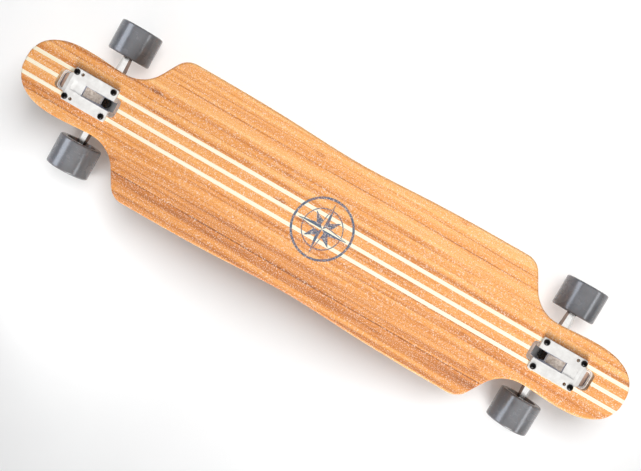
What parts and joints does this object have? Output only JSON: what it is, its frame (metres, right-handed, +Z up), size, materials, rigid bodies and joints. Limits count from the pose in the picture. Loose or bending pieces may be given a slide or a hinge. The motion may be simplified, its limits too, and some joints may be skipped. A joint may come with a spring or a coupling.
{
  "type": "drop-through longboard skateboard",
  "caption": "Drop-through bamboo longboard with necked ends, reverse-kingpin trucks that steer on bushings, and free-spinning urethane wheels on ball bearings.",
  "frame": {"origin": "on the ground under the middle of the deck", "axes": "+X to the front along the deck, +Y to the left, +Z up"},
  "size_m": [1.041, 0.255, 0.1076],
  "materials": {
    "bamboo_top": "carbonised bamboo strips under clear sprayed grit",
    "pale_inlay": "natural pale bamboo inlay under clear sprayed grit",
    "maple_core": "cross-banded maple plies, satin lacquer on the edge",
    "bamboo_bottom": "bamboo veneer, satin lacquer",
    "cast_baseplate": "bright cast aluminium, linished face",
    "cast_hanger": "tumbled cast aluminium",
    "black_steel": "black oxide",
    "zinc_steel": "bright zinc plate",
    "bearing_steel": "ground and polished",
    "black_shield": "moulded rubber seal",
    "cage_plastic": "moulded nylon",
    "black_core": "moulded nylon",
    "grey_urethane": "satin cast urethane",
    "black_urethane": "satin cast urethane"
  },
  "bodies": {
    "root": {"deck_core": "maple_core", "deck_top_veneer": "bamboo_top", "deck_bottom_veneer": "bamboo_bottom", "deck_stripes": "pale_inlay", "front_baseplate": "cast_baseplate", "front_pivot_cup": "black_urethane", "front_kingpin": "black_steel", "front_kingpin_nut": "zinc_steel", "front_boardside_bushing": "black_urethane", "front_roadside_bushing": "black_urethane", "front_boardside_washer": "zinc_steel", "front_roadside_washer": "zinc_steel", "front_deck_screws": "black_steel", "front_deck_nuts": "black_steel", "rear_baseplate": "cast_baseplate", "rear_pivot_cup": "black_urethane", "rear_kingpin": "black_steel", "rear_kingpin_nut": "zinc_steel", "rear_boardside_bushing": "black_urethane", "rear_roadside_bushing": "black_urethane", "rear_boardside_washer": "zinc_steel", "rear_roadside_washer": "zinc_steel", "rear_deck_screws": "black_steel", "rear_deck_nuts": "black_steel"},
    "front_hanger_body": {"front_hanger": "cast_hanger", "front_axle": "zinc_steel", "front_axle_nuts": "zinc_steel", "front_speed_washers": "zinc_steel", "front_bearing_inner_rings": "bearing_steel", "front_bearing_spacers": "zinc_steel"},
    "front_left_wheel": {"front_left_tyre": "grey_urethane", "front_left_core": "black_core", "front_left_bearing_outer_rings": "bearing_steel", "front_left_bearing_shields": "black_shield"},
    "front_left_balls": {"front_left_bearing_balls": "bearing_steel", "front_left_bearing_cages": "cage_plastic"},
    "front_right_wheel": {"front_right_tyre": "grey_urethane", "front_right_core": "black_core", "front_right_bearing_outer_rings": "bearing_steel", "front_right_bearing_shields": "black_shield"},
    "front_right_balls": {"front_right_bearing_balls": "bearing_steel", "front_right_bearing_cages": "cage_plastic"},
    "rear_hanger_body": {"rear_hanger": "cast_hanger", "rear_axle": "zinc_steel", "rear_axle_nuts": "zinc_steel", "rear_speed_washers": "zinc_steel", "rear_bearing_inner_rings": "bearing_steel", "rear_bearing_spacers": "zinc_steel"},
    "rear_left_wheel": {"rear_left_tyre": "grey_urethane", "rear_left_core": "black_core", "rear_left_bearing_outer_rings": "bearing_steel", "rear_left_bearing_shields": "black_shield"},
    "rear_left_balls": {"rear_left_bearing_balls": "bearing_steel", "rear_left_bearing_cages": "cage_plastic"},
    "rear_right_wheel": {"rear_right_tyre": "grey_urethane", "rear_right_core": "black_core", "rear_right_bearing_outer_rings": "bearing_steel", "rear_right_bearing_shields": "black_shield"},
    "rear_right_balls": {"rear_right_bearing_balls": "bearing_steel", "rear_right_bearing_cages": "cage_plastic"}
  },
  "joints": [
    {"name": "front_steer", "type": "hinge", "parent": "root", "child": "front_hanger_body", "pos_m": [0.4124, 0, 0.05494], "axis": [0.6428, 0, 0.766], "range_deg": [-20, 20], "stiffness_Nm_per_rad": 40, "deforming": ["front_boardside_bushing", "front_roadside_bushing"]},
    {"name": "front_left_wheel_spin", "type": "hinge", "parent": "front_hanger_body", "child": "front_left_wheel", "pos_m": [0.4035, 0.102, 0.035], "axis": [0, 1, 0], "continuous": true},
    {"name": "front_left_cage_spin", "type": "hinge", "parent": "front_hanger_body", "child": "front_left_balls", "pos_m": [0.4035, 0.102, 0.035], "axis": [0, 1, 0], "continuous": true},
    {"name": "front_right_wheel_spin", "type": "hinge", "parent": "front_hanger_body", "child": "front_right_wheel", "pos_m": [0.4035, -0.102, 0.035], "axis": [0, 1, 0], "continuous": true},
    {"name": "front_right_cage_spin", "type": "hinge", "parent": "front_hanger_body", "child": "front_right_balls", "pos_m": [0.4035, -0.102, 0.035], "axis": [0, 1, 0], "continuous": true},
    {"name": "rear_steer", "type": "hinge", "parent": "root", "child": "rear_hanger_body", "pos_m": [-0.4124, 0, 0.05494], "axis": [-0.6428, 0, 0.766], "range_deg": [-20, 20], "stiffness_Nm_per_rad": 40, "deforming": ["rear_boardside_bushing", "rear_roadside_bushing"]},
    {"name": "rear_left_wheel_spin", "type": "hinge", "parent": "rear_hanger_body", "child": "rear_left_wheel", "pos_m": [-0.4035, 0.102, 0.035], "axis": [0, 1, 0], "continuous": true},
    {"name": "rear_left_cage_spin", "type": "hinge", "parent": "rear_hanger_body", "child": "rear_left_balls", "pos_m": [-0.4035, 0.102, 0.035], "axis": [0, 1, 0], "continuous": true},
    {"name": "rear_right_wheel_spin", "type": "hinge", "parent": "rear_hanger_body", "child": "rear_right_wheel", "pos_m": [-0.4035, -0.102, 0.035], "axis": [0, 1, 0], "continuous": true},
    {"name": "rear_right_cage_spin", "type": "hinge", "parent": "rear_hanger_body", "child": "rear_right_balls", "pos_m": [-0.4035, -0.102, 0.035], "axis": [0, 1, 0], "continuous": true}
  ],
  "couplings": [
    {"joint": "front_left_cage_spin", "follows": "front_left_wheel_spin", "ratio": 0.63},
    {"joint": "front_right_cage_spin", "follows": "front_right_wheel_spin", "ratio": 0.63},
    {"joint": "rear_left_cage_spin", "follows": "rear_left_wheel_spin", "ratio": 0.63},
    {"joint": "rear_right_cage_spin", "follows": "rear_right_wheel_spin", "ratio": 0.63}
  ]
}
